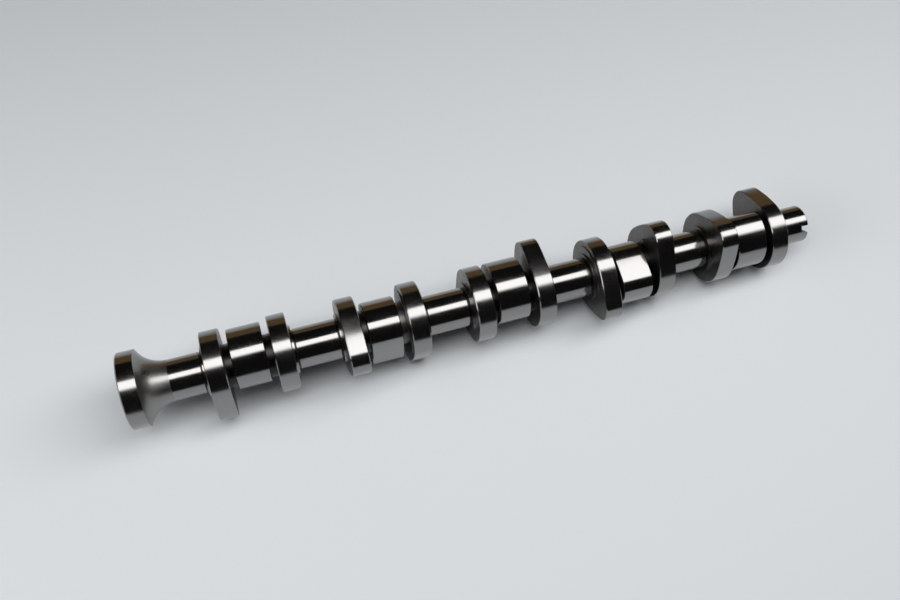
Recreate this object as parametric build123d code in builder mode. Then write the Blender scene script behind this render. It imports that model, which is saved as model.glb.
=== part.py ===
from build123d import *
from math import atan2, cos, degrees, radians, sin, sqrt
import os

os.makedirs("parts", exist_ok=True)

# One-piece camshaft of a five-cylinder diesel engine with unit injectors.
# X runs along the shaft from the gear flange, whose face is at x = 0, to the drive slot.
# Angles are about the shaft, from +Y towards +Z, for cylinder 1, which is next to the slot.
# They are set so that the shaft lies as it comes to rest on a flat surface, on its lobes.

# Cylinders, numbered as they stand from the flange, and their firing
cylinder_pitch = 88.0
first_cam_group_x = 79.4
cylinder_numbers = (5, 4, 3, 2, 1)
firing_order = (1, 2, 4, 5, 3)
firing_step = 360.0 / len(firing_order)

# Valve lobes, one pair to a cylinder
valve_base_radius = 25.5
valve_lift = 9.1
valve_nose_radius = 12.5
valve_flank_radius = 100.0
valve_lobe_width = 12.1
intake_angle = 108.0
exhaust_angle = 9.0
exhaust_on_flange_side = (5, 4, 3)

# Injector cams: a steep flank up to the crest, then a long easy fall over the shoulder
injector_base_radius = 16.6
injector_cam_width = 21.8
rising_flank_radius = 170.0
crest_angle = 96.0
crest_lift = 8.7
crest_radius = 11.4
top_flank_radius = 22.1
shoulder_angle = 155.5
shoulder_lift = 6.0
shoulder_radius = 19.0
falling_flank_radius = 21.0

# Turned shaft
journal_radius = 13.5
neck_radius = 14.4
neck_width = 4.5
collar_radius = 16.2
collar_width = 1.6
relief_width = 1.4
relief_depth = 0.6
face_step_radius = 21.5
face_step_width = 0.7
face_step_cylinders = (4, 2)
edge_break = 0.5

# Gear flange with its bell-mouth flare
flange_radius = 25.1
flange_rim_width = 11.0
flange_edge_break = 0.8
flare_end_x = 29.0
gear_bolt_hole_radius = 5.1
gear_bolt_hole_depth = 30.0
gear_bolt_lead_radius = 6.6
gear_bolt_lead_cone_angle = 60.0
gear_pin_hole_radius = 3.0
gear_pin_hole_depth = 9.0
gear_pin_circle_radius = 18.0
gear_pin_angle = 90.0

# Stub with the cross slot that drives the pump
stub_radius = 13.2
stub_length = 25.3
stub_edge_break = 1.2
slot_angle = 138.7
slot_width = 5.0
slot_depth = 6.2
slot_lead = 2.0

# Places along the shaft that follow from the sizes above
group_xs = [first_cam_group_x + i * cylinder_pitch for i in range(len(cylinder_numbers))]
valve_offset = injector_cam_width / 2 + neck_width + valve_lobe_width / 2
group_half_width = valve_offset + valve_lobe_width / 2
stub_start_x = group_xs[-1] + group_half_width
shaft_length = stub_start_x + stub_length
slot_y = cos(radians(slot_angle))
slot_z = sin(radians(slot_angle))


def heading(vector):
    return degrees(atan2(vector.Y, vector.X))


def flank_centre(circle, next_circle, flank_radius):
    """The centre of a flank, the long arc that leaves one circle and runs on to the next."""
    centre, radius = circle
    next_centre, next_radius = next_circle
    reach = next_centre - centre
    away = flank_radius - radius
    next_away = flank_radius - next_radius
    along = (reach.length**2 + away**2 - next_away**2) / (2 * reach.length)
    inward = sqrt(away**2 - along**2)
    return centre + reach.normalized() * along + reach.normalized().rotate(Axis.Z, 90) * inward


def cam(middle_x, width, turn, base_radius, bulges, flank_radii):
    """A ground cam: its base circle and its bulges, joined by convex flanks, with broken edges."""
    circles = [(Vector(0, 0), base_radius)]
    for angle, lift, radius in bulges:
        distance = base_radius + lift - radius
        centre = Vector(distance * cos(radians(angle)), distance * sin(radians(angle)))
        circles.append((centre, radius))
    next_circles = circles[1:] + circles[:1]
    flanks = [flank_centre(*ends) for ends in zip(circles, next_circles, flank_radii)]
    starts = [heading(circle[0] - flank) for circle, flank in zip(circles, flanks)]
    ends = [heading(circle[0] - flank) for circle, flank in zip(next_circles, flanks)]
    with BuildPart() as disc:
        with BuildSketch(Plane.YZ.offset(middle_x - width / 2).rotated((turn, 0, 0))):
            with BuildLine():
                for i, (centre, radius) in enumerate(circles):
                    CenterArc(centre, radius, ends[i - 1], (starts[i] - ends[i - 1]) % 360)
                    CenterArc(flanks[i], flank_radii[i], starts[i], (ends[i] - starts[i]) % 360)
            make_face()
        extrude(amount=width)
        chamfer(disc.faces().filter_by(Axis.X).edges(), edge_break)
    return disc.part


def cylinder_cams(cylinder, middle_x):
    """The exhaust, injector and intake cams of one cylinder, turned by its place in the firing order."""
    turn = firing_step * firing_order.index(cylinder)
    exhaust_side = -1 if cylinder in exhaust_on_flange_side else 1
    exhaust = (exhaust_angle, valve_lift, valve_nose_radius)
    intake = (intake_angle, valve_lift, valve_nose_radius)
    crest = (crest_angle, crest_lift, crest_radius)
    shoulder = (shoulder_angle, shoulder_lift, shoulder_radius)
    valve_flanks = [valve_flank_radius] * 2
    injector_flanks = [rising_flank_radius, top_flank_radius, falling_flank_radius]
    exhaust_x = middle_x + exhaust_side * valve_offset
    intake_x = middle_x - exhaust_side * valve_offset
    return [
        cam(exhaust_x, valve_lobe_width, turn, valve_base_radius, [exhaust], valve_flanks),
        cam(
            middle_x,
            injector_cam_width,
            turn,
            injector_base_radius,
            [crest, shoulder],
            injector_flanks,
        ),
        cam(intake_x, valve_lobe_width, turn, valve_base_radius, [intake], valve_flanks),
    ]


cams = []
for cylinder, middle_x in zip(cylinder_numbers, group_xs):
    cams += cylinder_cams(cylinder, middle_x)

# Ends of the journals, each with the side on which its lobe lies: +1 towards the slot
journal_ends = [(x - group_half_width, 1) for x in group_xs]
journal_ends += [(x + group_half_width, -1) for x in group_xs[:-1]]

with BuildPart() as camshaft:
    # Flange, flare and journals, turned in one run
    with BuildSketch(Plane.XZ) as half_section:
        with BuildLine():
            rim = Polyline(
                (0, 0),
                (0, flange_radius - flange_edge_break),
                (flange_edge_break, flange_radius),
                (flange_rim_width, flange_radius),
            )
            flare = TangentArc(
                (flare_end_x, journal_radius), (flange_rim_width, flange_radius), tangent=(-1, 0)
            )
            shaft = Polyline(
                flare @ 0,
                (stub_start_x, journal_radius),
                (stub_start_x, stub_radius),
                (shaft_length - stub_edge_break, stub_radius),
                (shaft_length, stub_radius - stub_edge_break),
                (shaft_length, 0),
                (0, 0),
            )
        make_face()
    revolve(axis=Axis.X)

    # Necks between the cams of each cylinder
    for middle_x in group_xs:
        with BuildSketch(Plane.YZ.offset(middle_x - valve_offset)):
            Circle(neck_radius)
        extrude(amount=2 * valve_offset)

    # Grinding relief at each journal end, then the collar that carries the lobe's face
    for end_x, side in journal_ends:
        with BuildSketch(Plane.YZ.offset(end_x - side * collar_width)):
            Circle(journal_radius + relief_depth)
            Circle(journal_radius - relief_depth, mode=Mode.SUBTRACT)
        extrude(amount=-side * relief_width, mode=Mode.SUBTRACT)
        with BuildSketch(Plane.YZ.offset(end_x - side * collar_width)):
            Circle(collar_radius)
        extrude(amount=side * (collar_width + edge_break))

    for cylinder, middle_x in zip(cylinder_numbers, group_xs):
        if cylinder in face_step_cylinders:
            side = 1 if cylinder in exhaust_on_flange_side else -1
            step_x = middle_x + side * valve_offset - valve_lobe_width / 2 - face_step_width
            with BuildSketch(Plane.YZ.offset(step_x)):
                Circle(face_step_radius)
            extrude(amount=face_step_width + edge_break)

    for finished_cam in cams:
        add(finished_cam)

    # Tapped hole for the gear's bolt, with its lead-in, and the hole for its locating pin
    with Locations(Plane.YZ.rotated((0, 180, 0))):
        CounterSinkHole(
            gear_bolt_hole_radius,
            gear_bolt_lead_radius,
            gear_bolt_hole_depth,
            gear_bolt_lead_cone_angle,
        )
        with PolarLocations(gear_pin_circle_radius, 1, -gear_pin_angle):
            Hole(gear_pin_hole_radius, gear_pin_hole_depth)

    # Drive slot right across the stub's end, with a sloping lead-in along one lip
    slot_section = Plane((shaft_length, 0, 0), x_dir=(1, 0, 0), z_dir=(0, slot_y, slot_z))
    with BuildSketch(slot_section):
        with BuildLine():
            Polyline(
                (-slot_depth, slot_width / 2),
                (-slot_depth, -slot_width / 2),
                (-slot_lead, -slot_width / 2),
                (0, -slot_width / 2 - slot_lead),
                (0, slot_width / 2),
                close=True,
            )
        make_face()
    extrude(amount=stub_radius, both=True, mode=Mode.SUBTRACT)

camshaft.part.label = "camshaft"
export_step(camshaft.part, "parts/camshaft.step")
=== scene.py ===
from bisect import bisect_left
from math import atan2, cos, pi, radians, sin

import bmesh
import bpy
from mathutils import Matrix, Vector


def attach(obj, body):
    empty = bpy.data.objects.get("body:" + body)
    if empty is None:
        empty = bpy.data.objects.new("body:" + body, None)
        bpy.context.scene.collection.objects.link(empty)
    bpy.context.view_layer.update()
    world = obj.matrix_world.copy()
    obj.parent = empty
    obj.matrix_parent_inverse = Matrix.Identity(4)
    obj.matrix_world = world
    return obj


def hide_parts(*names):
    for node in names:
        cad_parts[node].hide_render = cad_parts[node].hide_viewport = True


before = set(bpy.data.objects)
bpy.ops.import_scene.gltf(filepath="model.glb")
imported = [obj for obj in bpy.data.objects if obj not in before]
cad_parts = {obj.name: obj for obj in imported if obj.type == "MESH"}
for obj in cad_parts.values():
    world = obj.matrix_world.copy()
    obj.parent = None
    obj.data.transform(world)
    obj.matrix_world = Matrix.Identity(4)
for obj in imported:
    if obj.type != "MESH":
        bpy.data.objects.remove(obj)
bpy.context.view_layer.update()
print("frame loaded")

mm = 0.001  # the shaft's sizes below are in millimetres and degrees, the lights and camera in metres


def addNode(nodes, kind, **values):  # values with a capital are sockets, the others are settings
    node = nodes.new(kind)
    for name, value in values.items():
        if name[0].isupper():
            node.inputs[name.replace("_", " ")].default_value = value
        else:
            setattr(node, name, value)
    return node


# Steel finishes: ground on the cams, journals and flange, turned on the sides and in the grooves, where the
# steel is painted near black as shade
groundSteel = {
    "colour": (0.27, 0.267, 0.263, 1.0),
    "roughness": (0.10, 0.16),  # from the shiniest patches to the dullest
    "patches": (60.0, 4.0),  # scale and detail
    "patchRange": (0.3, 0.7),  # the patches' noise seldom leaves this range
    "grainAcross": 5200.0,  # grinding lines a metre, along the shaft
    "grainAlong": 25.0,
    "grain": (3.0, 0.6),  # detail and roughness of the lines' noise
    "bumpDepth": 0.0000012,
}
lobeSteel = dict(groundSteel, roughness=(0.13, 0.19), bumpDepth=0.0000015)
# Painted shade: the turned steel's colour is darker than the ground steel's, to darken the side faces between
# the lobes
turnedShadedSteel = {
    "colour": (0.115, 0.111, 0.105, 1.0),
    "roughness": (0.26, 0.40),
    "patches": (90.0, 5.0),
    "patchRange": (0.3, 0.7),
    "ringScale": 420.0,
    "ringWobble": (0.6, 2.0, 3.0),  # distortion, its detail and its scale
    "bumpDepth": 0.000006,
}
flareSteel = dict(turnedShadedSteel, colour=(0.26, 0.256, 0.25, 1.0), bumpDepth=0.000002)
# Painted shade: the relief grooves and the necks between the cams get near-black steel
shadedGrooveSteel = dict(turnedShadedSteel, colour=(0.035, 0.034, 0.032, 1.0), roughness=(0.22, 0.32))


def grindingLines(nodes, links, place, finish):
    across, along = finish["grainAcross"], finish["grainAlong"]
    detail, roughness = finish["grain"]
    stretch = addNode(nodes, "ShaderNodeMapping", Scale=(across, along, along))
    grain = addNode(nodes, "ShaderNodeTexNoise", Scale=1.0, Detail=detail, Roughness=roughness)
    links.new(place, stretch.inputs["Vector"])
    links.new(stretch.outputs["Vector"], grain.inputs["Vector"])
    return grain.outputs["Fac"]


def turningRings(nodes, links, place, finish):
    distortion, detail, detailScale = finish["ringWobble"]
    rings = addNode(
        nodes,
        "ShaderNodeTexWave",
        wave_type="RINGS",
        rings_direction="X",
        Scale=finish["ringScale"],
        Distortion=distortion,
        Detail=detail,
        Detail_Scale=detailScale,
    )
    links.new(place, rings.inputs["Vector"])
    return rings.outputs["Fac"]


def makeSteel(name, finish, addPattern):
    material = bpy.data.materials.new(name)
    material.use_nodes = True
    nodes, links = material.node_tree.nodes, material.node_tree.links
    shader = nodes["Principled BSDF"]
    shader.inputs["Base Color"].default_value = finish["colour"]
    shader.inputs["Metallic"].default_value = 1.0
    place = addNode(nodes, "ShaderNodeTexCoord").outputs["Object"]
    scale, detail = finish["patches"]
    patches = addNode(nodes, "ShaderNodeTexNoise", Scale=scale, Detail=detail)
    least, most = finish["patchRange"]
    shiny, dull = finish["roughness"]
    sheen = addNode(nodes, "ShaderNodeMapRange", From_Min=least, From_Max=most, To_Min=shiny, To_Max=dull)
    bump = addNode(nodes, "ShaderNodeBump", Strength=1.0, Distance=finish["bumpDepth"])
    links.new(place, patches.inputs["Vector"])
    links.new(patches.outputs["Fac"], sheen.inputs["Value"])
    links.new(sheen.outputs["Result"], shader.inputs["Roughness"])
    links.new(addPattern(nodes, links, place, finish), bump.inputs["Height"])
    links.new(bump.outputs["Normal"], shader.inputs["Normal"])
    return material


ground, turned, lobe, flare, shadedGroove = range(5)  # material slots on the shaft
finishes = [
    makeSteel("groundSteel", groundSteel, grindingLines),
    makeSteel("turnedShadedSteel", turnedShadedSteel, turningRings),
    makeSteel("lobeSteel", lobeSteel, grindingLines),
    makeSteel("flareSteel", flareSteel, turningRings),
    makeSteel("shadedGrooveSteel", shadedGrooveSteel, turningRings),
]
print("steel finishes made")

# Cam outlines. Each becomes a list of radii round the shaft, one for each step from +Y towards +Z.
stepsRound = 360
stepsPerArc = 240
valveLobe = {
    "base": 25.5,
    "lift": 9.1,
    "nose": 12.5,
    "flank": 100.0,
    "width": 12.1,
    "exhaust": 9.0,  # where the nose points on cylinder 1
    "intake": 108.0,
}
injectorCam = {
    "base": 16.6,
    "width": 21.8,
    "bulges": [(96.0, 8.7, 11.4), (155.5, 6.0, 19.0)],  # angle, lift, radius
    "flanks": [170.0, 22.1, 21.0],
}


def heading(reach):
    return atan2(reach.y, reach.x)


def flankCentre(circle, following, flank):
    (centre, radius), (nextCentre, nextRadius) = circle, following
    reach = nextCentre - centre
    away, nextAway = flank - radius, flank - nextRadius
    along = (reach.length ** 2 + away ** 2 - nextAway ** 2) / (2 * reach.length)
    inward = Vector((-reach.y, reach.x)).normalized() * (away ** 2 - along ** 2) ** 0.5
    return centre + reach.normalized() * along + inward


def camArcs(base, bulges, flanks):  # centre, radius, start and end of each arc of the outline
    circles = [(Vector((0.0, 0.0)), base)]
    for angle, lift, radius in bulges:
        reach = base + lift - radius
        circles.append((Vector((cos(radians(angle)), sin(radians(angle)))) * reach, radius))
    arcs = []
    for circle, following, flank in zip(circles, circles[1:] + circles[:1], flanks):
        centre = flankCentre(circle, following, flank)
        arcs.append((centre, flank, heading(circle[0] - centre), heading(following[0] - centre)))
    return arcs + [(centre, radius, arcs[i - 1][3], arcs[i][2]) for i, (centre, radius) in enumerate(circles)]


def camRadii(base, bulges, flanks):
    spots = []
    for centre, radius, start, end in camArcs(base, bulges, flanks):
        sweep = (end - start) % (2 * pi)
        for step in range(stepsPerArc + 1):
            turn = start + sweep * step / stepsPerArc
            spots.append(centre + Vector((cos(turn), sin(turn))) * radius)
    spots = sorted((heading(spot) % (2 * pi), spot.length) for spot in spots)
    turns = [turn for turn, radius in spots]
    radii = []
    for step in range(stepsRound):
        turn = 2 * pi * step / stepsRound
        place = min(bisect_left(turns, turn), len(turns) - 1)
        (before, short), (after, far) = spots[place - 1], spots[place]
        share = (turn - before) / (after - before) if 0 < after - before < 1 else 1
        radii.append(short + (far - short) * share)
    return radii


def valveRadii(angle):
    nose = (angle, valveLobe["lift"], valveLobe["nose"])
    return camRadii(valveLobe["base"], [nose], [valveLobe["flank"]] * 2)


def turnedBy(radii, turn):
    shift = round(turn * stepsRound / 360)
    return [radii[(step - shift) % stepsRound] for step in range(stepsRound)]


def lowered(radii, drop):
    return [radius - drop for radius in radii]


exhaustRadii = valveRadii(valveLobe["exhaust"])
intakeRadii = valveRadii(valveLobe["intake"])
injectorRadii = camRadii(injectorCam["base"], injectorCam["bulges"], injectorCam["flanks"])
print("cam outlines worked out")

# The shaft is drawn out ring by ring, from the bottom of the gear's bolt hole to the slot end
shaft = {
    "firstGroup": 79.4,
    "pitch": 88.0,
    "cylinders": (5, 4, 3, 2, 1),
    "firingOrder": (1, 2, 4, 5, 3),
    "exhaustFirst": (5, 4, 3),  # exhaust lobe on the flange side
    "journal": 13.5,
    "neck": 14.4,
    "neckWidth": 4.5,
    "collar": 16.2,
    "collarWidth": 1.6,
    "reliefWidth": 1.4,
    "reliefDepth": 0.6,
    "edge": 0.5,
    "step": (21.5, 0.7, (4, 2)),  # low step on an intake lobe's side: radius, height, cylinders
    "flange": 25.1,
    "flangeRim": 11.0,
    "flangeEdge": 0.8,
    "flareEnd": 29.0,
    "flareRings": 32,
    "boltHole": 5.1,
    "boltHoleDepth": 30.0,
    "boltLead": (6.6, 2.598),  # radius at the face, depth
    "thread": (6.0, 1.75),  # radius at the bottom of its grooves, pitch
    "pinHole": (3.0, 9.0, 18.0, 90.0),  # radius, depth, reach from the axis, angle
    "pinHoleSides": 64,
    "stub": 13.2,
    "stubLength": 25.3,
    "stubEdge": 1.2,
    "slot": (138.7, 5.0, 6.2, 2.0),  # angle, width, depth, lead-in
    "sharpAngle": 24.0,
}


def only(kind, parts):
    return [part for part in parts if isinstance(part, kind)]


def boltHoleRings():
    radius, (leadRadius, leadDepth) = shaft["boltHole"], shaft["boltLead"]
    threadRadius, pitch = shaft["thread"]
    rings = []
    for turn in range(int((shaft["boltHoleDepth"] - leadDepth) / pitch), 0, -1):
        x = leadDepth + pitch * turn
        rings += [(x, radius, turned), (x - pitch / 2, threadRadius, turned)]
    return rings + [(leadDepth, radius, turned), (0, leadRadius, turned)]


def flangeRings():
    flange, rim, edge = shaft["flange"], shaft["flangeRim"], shaft["flangeEdge"]
    rings = [(0, flange - edge, turned), (edge, flange, lobe), (rim, flange, lobe)]
    # The flare is a hollow arc that ends level with the journal
    drop, run = flange - shaft["journal"], shaft["flareEnd"] - rim
    hollow = (drop * drop + run * run) / (2 * drop)
    for step in range(1, shaft["flareRings"] + 1):
        x = rim + run * step / shaft["flareRings"]
        radius = shaft["journal"] + hollow - (hollow ** 2 - (shaft["flareEnd"] - x) ** 2) ** 0.5
        rings.append((x, radius, flare))
    return rings


def camGroupRings(cylinder, middle):
    turn = 360 * shaft["firingOrder"].index(cylinder) / len(shaft["firingOrder"])
    exhaust, intake = turnedBy(exhaustRadii, turn), turnedBy(intakeRadii, turn)
    injector = turnedBy(injectorRadii, turn)
    first, last = (exhaust, intake) if cylinder in shaft["exhaustFirst"] else (intake, exhaust)
    offset = (injectorCam["width"] + valveLobe["width"]) / 2 + shaft["neckWidth"]
    stepRadius, stepHeight, stepCylinders = shaft["step"]
    edge, collar, neck = shaft["edge"], shaft["collar"], shaft["neck"]
    cams = [
        (middle - offset, valveLobe["width"], first, collar, neck),
        (middle, injectorCam["width"], injector, neck, neck),
        (middle + offset, valveLobe["width"], last, neck, collar),
    ]
    rings = []
    for place, width, radii, before, after in cams:
        start, end = place - width / 2, place + width / 2
        if radii is intake and cylinder in stepCylinders:
            foot = start - stepHeight
            rings += [(foot, before, turned), (foot, stepRadius, turned), (start, stepRadius, turned)]
        else:
            rings += [(start, before, shadedGroove if rings else ground)]
        rings += [(start, lowered(radii, edge), turned), (start + edge, radii, ground)]
        rings += [(end - edge, radii, ground if radii is injector else lobe)]
        rings += [(end, lowered(radii, edge), ground), (end, after, turned)]
    return rings


def shaftRings():
    journal, relief = shaft["journal"], shaft["journal"] - shaft["reliefDepth"]
    collar, collarWidth, reliefWidth = shaft["collar"], shaft["collarWidth"], shaft["reliefWidth"]
    halfGroup = injectorCam["width"] / 2 + shaft["neckWidth"] + valveLobe["width"]
    rings = boltHoleRings() + flangeRings()
    for place, cylinder in enumerate(shaft["cylinders"]):
        middle = shaft["firstGroup"] + shaft["pitch"] * place
        foot, end = middle - halfGroup - collarWidth, middle + halfGroup
        rings += [(foot - reliefWidth, journal, ground), (foot - reliefWidth, relief, shadedGroove)]
        rings += [(foot, relief, shadedGroove), (foot, collar, turned)]
        rings += camGroupRings(cylinder, middle)
        if cylinder != shaft["cylinders"][-1]:
            foot = end + collarWidth
            rings += [(foot, collar, ground), (foot, relief, turned)]
            rings += [(foot + reliefWidth, relief, shadedGroove), (foot + reliefWidth, journal, shadedGroove)]
    stub, stubEdge, tip = shaft["stub"], shaft["stubEdge"], end + shaft["stubLength"]
    rings += [(end, stub, turned), (tip - stubEdge, stub, ground), (tip, stub - stubEdge, turned)]
    return rings, tip


def drawRing(bm, loop, x, radii, slot):
    made = bmesh.ops.extrude_edge_only(bm, edges=loop)["geom"]
    for vert in only(bmesh.types.BMVert, made):
        turn = atan2(vert.co.z, vert.co.y)
        step = round(turn / (2 * pi) * stepsRound) % stepsRound
        radius = radii[step] if isinstance(radii, list) else radii
        vert.co = Vector((x, radius * cos(turn), radius * sin(turn))) * mm
    for face in only(bmesh.types.BMFace, made):
        face.material_index = slot
        face.smooth = True
    return [edge for edge in only(bmesh.types.BMEdge, made) if len(edge.link_faces) == 1]


def drawShaft(rings):
    bm = bmesh.new()
    bottom = Matrix.Translation((shaft["boltHoleDepth"] * mm, 0, 0)) @ Matrix.Rotation(pi / 2, 4, "Y")
    radius = shaft["boltHole"] * mm
    bmesh.ops.create_circle(bm, cap_ends=True, radius=radius, segments=stepsRound, matrix=bottom)
    loop = bm.edges[:]
    for x, radii, slot in rings:
        loop = drawRing(bm, loop, x, radii, slot)
    bmesh.ops.edgeloop_fill(bm, edges=loop, mat_nr=turned)
    for face in bm.faces:
        if len(face.verts) > 4:  # the two round ends
            face.material_index = turned
    bmesh.ops.recalc_face_normals(bm, faces=bm.faces)
    return bm


def meshFrom(bm, name, materials):
    mesh = bpy.data.meshes.new(name)
    bm.to_mesh(mesh)
    bm.free()
    for material in materials:
        mesh.materials.append(material)
    piece = bpy.data.objects.new(name, mesh)
    bpy.context.scene.collection.objects.link(piece)
    return piece


def pinHoleCutter():
    radius, depth, reach, angle = shaft["pinHole"]
    centre = Vector((0, reach * cos(radians(angle)), reach * sin(radians(angle)))) * mm
    bm = bmesh.new()
    bmesh.ops.create_cone(
        bm,
        cap_ends=True,
        segments=shaft["pinHoleSides"],
        radius1=radius * mm,
        radius2=radius * mm,
        depth=2 * depth * mm,
        matrix=Matrix.Translation(centre) @ Matrix.Rotation(pi / 2, 4, "Y"),
    )
    return meshFrom(bm, "pinHoleCutter", finishes)


def slotCutter(tip):
    angle, width, depth, lead = shaft["slot"]
    beyond, halfLength = 2, 20  # how far the cutter stands past the tip, and out to each side
    section = [
        (-depth, width / 2),
        (-depth, -width / 2),
        (-lead, -width / 2),
        (beyond, -width / 2 - lead - beyond),
        (beyond, width / 2),
    ]
    bm = bmesh.new()
    wall = bm.faces.new([bm.verts.new(Vector((tip + x, y, -halfLength)) * mm) for x, y in section])
    swept = bmesh.ops.extrude_face_region(bm, geom=[wall])["geom"]
    bmesh.ops.translate(bm, verts=only(bmesh.types.BMVert, swept), vec=(0, 0, 2 * halfLength * mm))
    across = Matrix.Rotation(radians(angle - 90), 3, "X")
    bmesh.ops.rotate(bm, verts=bm.verts, cent=(0, 0, 0), matrix=across)
    bmesh.ops.recalc_face_normals(bm, faces=bm.faces)
    return meshFrom(bm, "slotCutter", finishes)


def cutAway(piece, cutters):
    for cutter in cutters:
        for face in cutter.data.polygons:
            face.material_index = turned
        cut = piece.modifiers.new(cutter.name, "BOOLEAN")
        cut.operation = "DIFFERENCE"
        cut.solver = "EXACT"
        cut.object = cutter
    finished = piece.evaluated_get(bpy.context.evaluated_depsgraph_get())
    mesh = bpy.data.meshes.new_from_object(finished)
    piece.modifiers.clear()
    piece.data = mesh
    for cutter in cutters:
        bpy.data.objects.remove(cutter)


rings, shaftTip = shaftRings()
camshaftPiece = meshFrom(drawShaft(rings), "camshaftSteel", finishes)
cutAway(camshaftPiece, [pinHoleCutter(), slotCutter(shaftTip)])
camshaftPiece.data.set_sharp_from_angle(angle=radians(shaft["sharpAngle"]))
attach(camshaftPiece, "root")
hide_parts("camshaft")
print("camshaft drawn:", len(camshaftPiece.data.polygons), "faces")

# The floor is tilted, so that it meets the lobes that the shaft lies on
floorSheet = {
    "size": 30.0,  # metres
    "low": (194.4, -33.52),  # x and z where a lobe touches it, in millimetres
    "high": (458.4, -25.5),
    "colour": (0.88, 0.92, 0.955, 1.0),
    "roughness": 0.7,
}


def layFloor():
    (lowX, lowZ), (highX, highZ) = floorSheet["low"], floorSheet["high"]
    tilt = Matrix.Rotation(-atan2(highZ - lowZ, highX - lowX), 3, "Y")
    bm = bmesh.new()
    bmesh.ops.create_grid(bm, x_segments=1, y_segments=1, size=floorSheet["size"] / 2)
    bmesh.ops.rotate(bm, verts=bm.verts, cent=(0, 0, 0), matrix=tilt)
    bmesh.ops.translate(bm, verts=bm.verts, vec=Vector((lowX, 0, lowZ)) * mm)
    paper = bpy.data.materials.new("palePaper")
    paper.use_nodes = True
    shader = paper.node_tree.nodes["Principled BSDF"]
    shader.inputs["Base Color"].default_value = floorSheet["colour"]
    shader.inputs["Roughness"].default_value = floorSheet["roughness"]
    meshFrom(bm, "floorSheet", [paper])


layFloor()
print("floor laid")

# Soft light, mostly from a long box overhead with a dimmer lip along its near edge
whiteTint = (1.0, 0.99, 0.985)
softLights = {
    "overhead": {"at": (0.356, -0.0802, 0.96), "size": (1.95, 0.44), "tint": whiteTint, "power": 9.3},
    "overheadLip": {"at": (0.3793, -0.3441, 0.96), "size": (1.95, 0.09), "tint": whiteTint, "power": 0.75},
    "leftFill": {"at": (-0.9, -0.1, 0.5), "size": (0.8, 0.8), "tint": (1.0, 1.0, 1.0), "power": 4.6},
    "wallBehind": {"at": (0.3, 1.6, 0.33), "size": (3.5, 0.88), "tint": (1.0, 0.62, 0.26), "power": 1.95},
}
overheadDrop = 0.22  # the overhead box comes lower towards the slot end, by this slope
overheadEdge = 0.40  # its near edge stays this far forward for each metre of height
leftFillTarget = (0.15, 0, 0)
roomColour = (0.012, 0.0115, 0.011, 1.0)


def hangLight(name, turn):
    light = softLights[name]
    lamp = bpy.data.lights.new(name, "AREA")
    lamp.shape = "RECTANGLE"
    lamp.size, lamp.size_y = light["size"]
    lamp.color = light["tint"]
    lamp.energy = light["power"]
    holder = bpy.data.objects.new(name, lamp)
    holder.location = light["at"]
    holder.rotation_euler = turn
    bpy.context.scene.collection.objects.link(holder)
    return holder


def hangLights():
    along = Vector((1, overheadEdge * overheadDrop, -overheadDrop)).normalized()
    across = Vector((-along.y, along.x, 0)).normalized()
    overheadTurn = Matrix((along, across, along.cross(across))).transposed().to_euler()
    hangLight("overhead", overheadTurn)
    hangLight("overheadLip", overheadTurn)
    leftAim = Vector(softLights["leftFill"]["at"]) - Vector(leftFillTarget)
    hangLight("leftFill", leftAim.to_track_quat("Z", "Y").to_euler())
    wallBehind = hangLight("wallBehind", (radians(-90), 0, 0))
    # The warm wall lights the steel alone, because on the floor its edge would show as a line
    litByWall = bpy.data.collections.new("litByWall")
    litByWall.objects.link(camshaftPiece)
    wallBehind.light_linking.receiver_collection = litByWall


def dimRoom():
    world = bpy.data.worlds.new("dimRoom")
    world.use_nodes = True
    world.node_tree.nodes["Background"].inputs["Color"].default_value = roomColour
    bpy.context.scene.world = world


hangLights()
dimRoom()
print("lights hung")

# The camera stands where the picture was taken from
photoView = {
    "at": (0.0961346, -0.2538025, 0.5426812),
    "right": (0.95144, -0.30018, 0.06820),
    "down": (-0.23611, -0.85380, -0.46398),
    "lens": 36.10,
    "sensor": 36.0,
    "clip": (0.01, 50.0),
}


def placeCamera():
    right, up = Vector(photoView["right"]).normalized(), -Vector(photoView["down"]).normalized()
    back = right.cross(up).normalized()
    up = back.cross(right)
    camera = bpy.data.cameras.new("photoCamera")
    camera.lens = photoView["lens"]
    camera.sensor_width = photoView["sensor"]
    camera.clip_start, camera.clip_end = photoView["clip"]
    holder = bpy.data.objects.new("photoCamera", camera)
    turn = Matrix((right, up, back)).transposed().to_4x4()
    holder.matrix_world = Matrix.Translation(photoView["at"]) @ turn
    bpy.context.scene.collection.objects.link(holder)
    bpy.context.scene.camera = holder


placeCamera()
bpy.context.scene.view_settings.view_transform = "Standard"
print("camera placed")
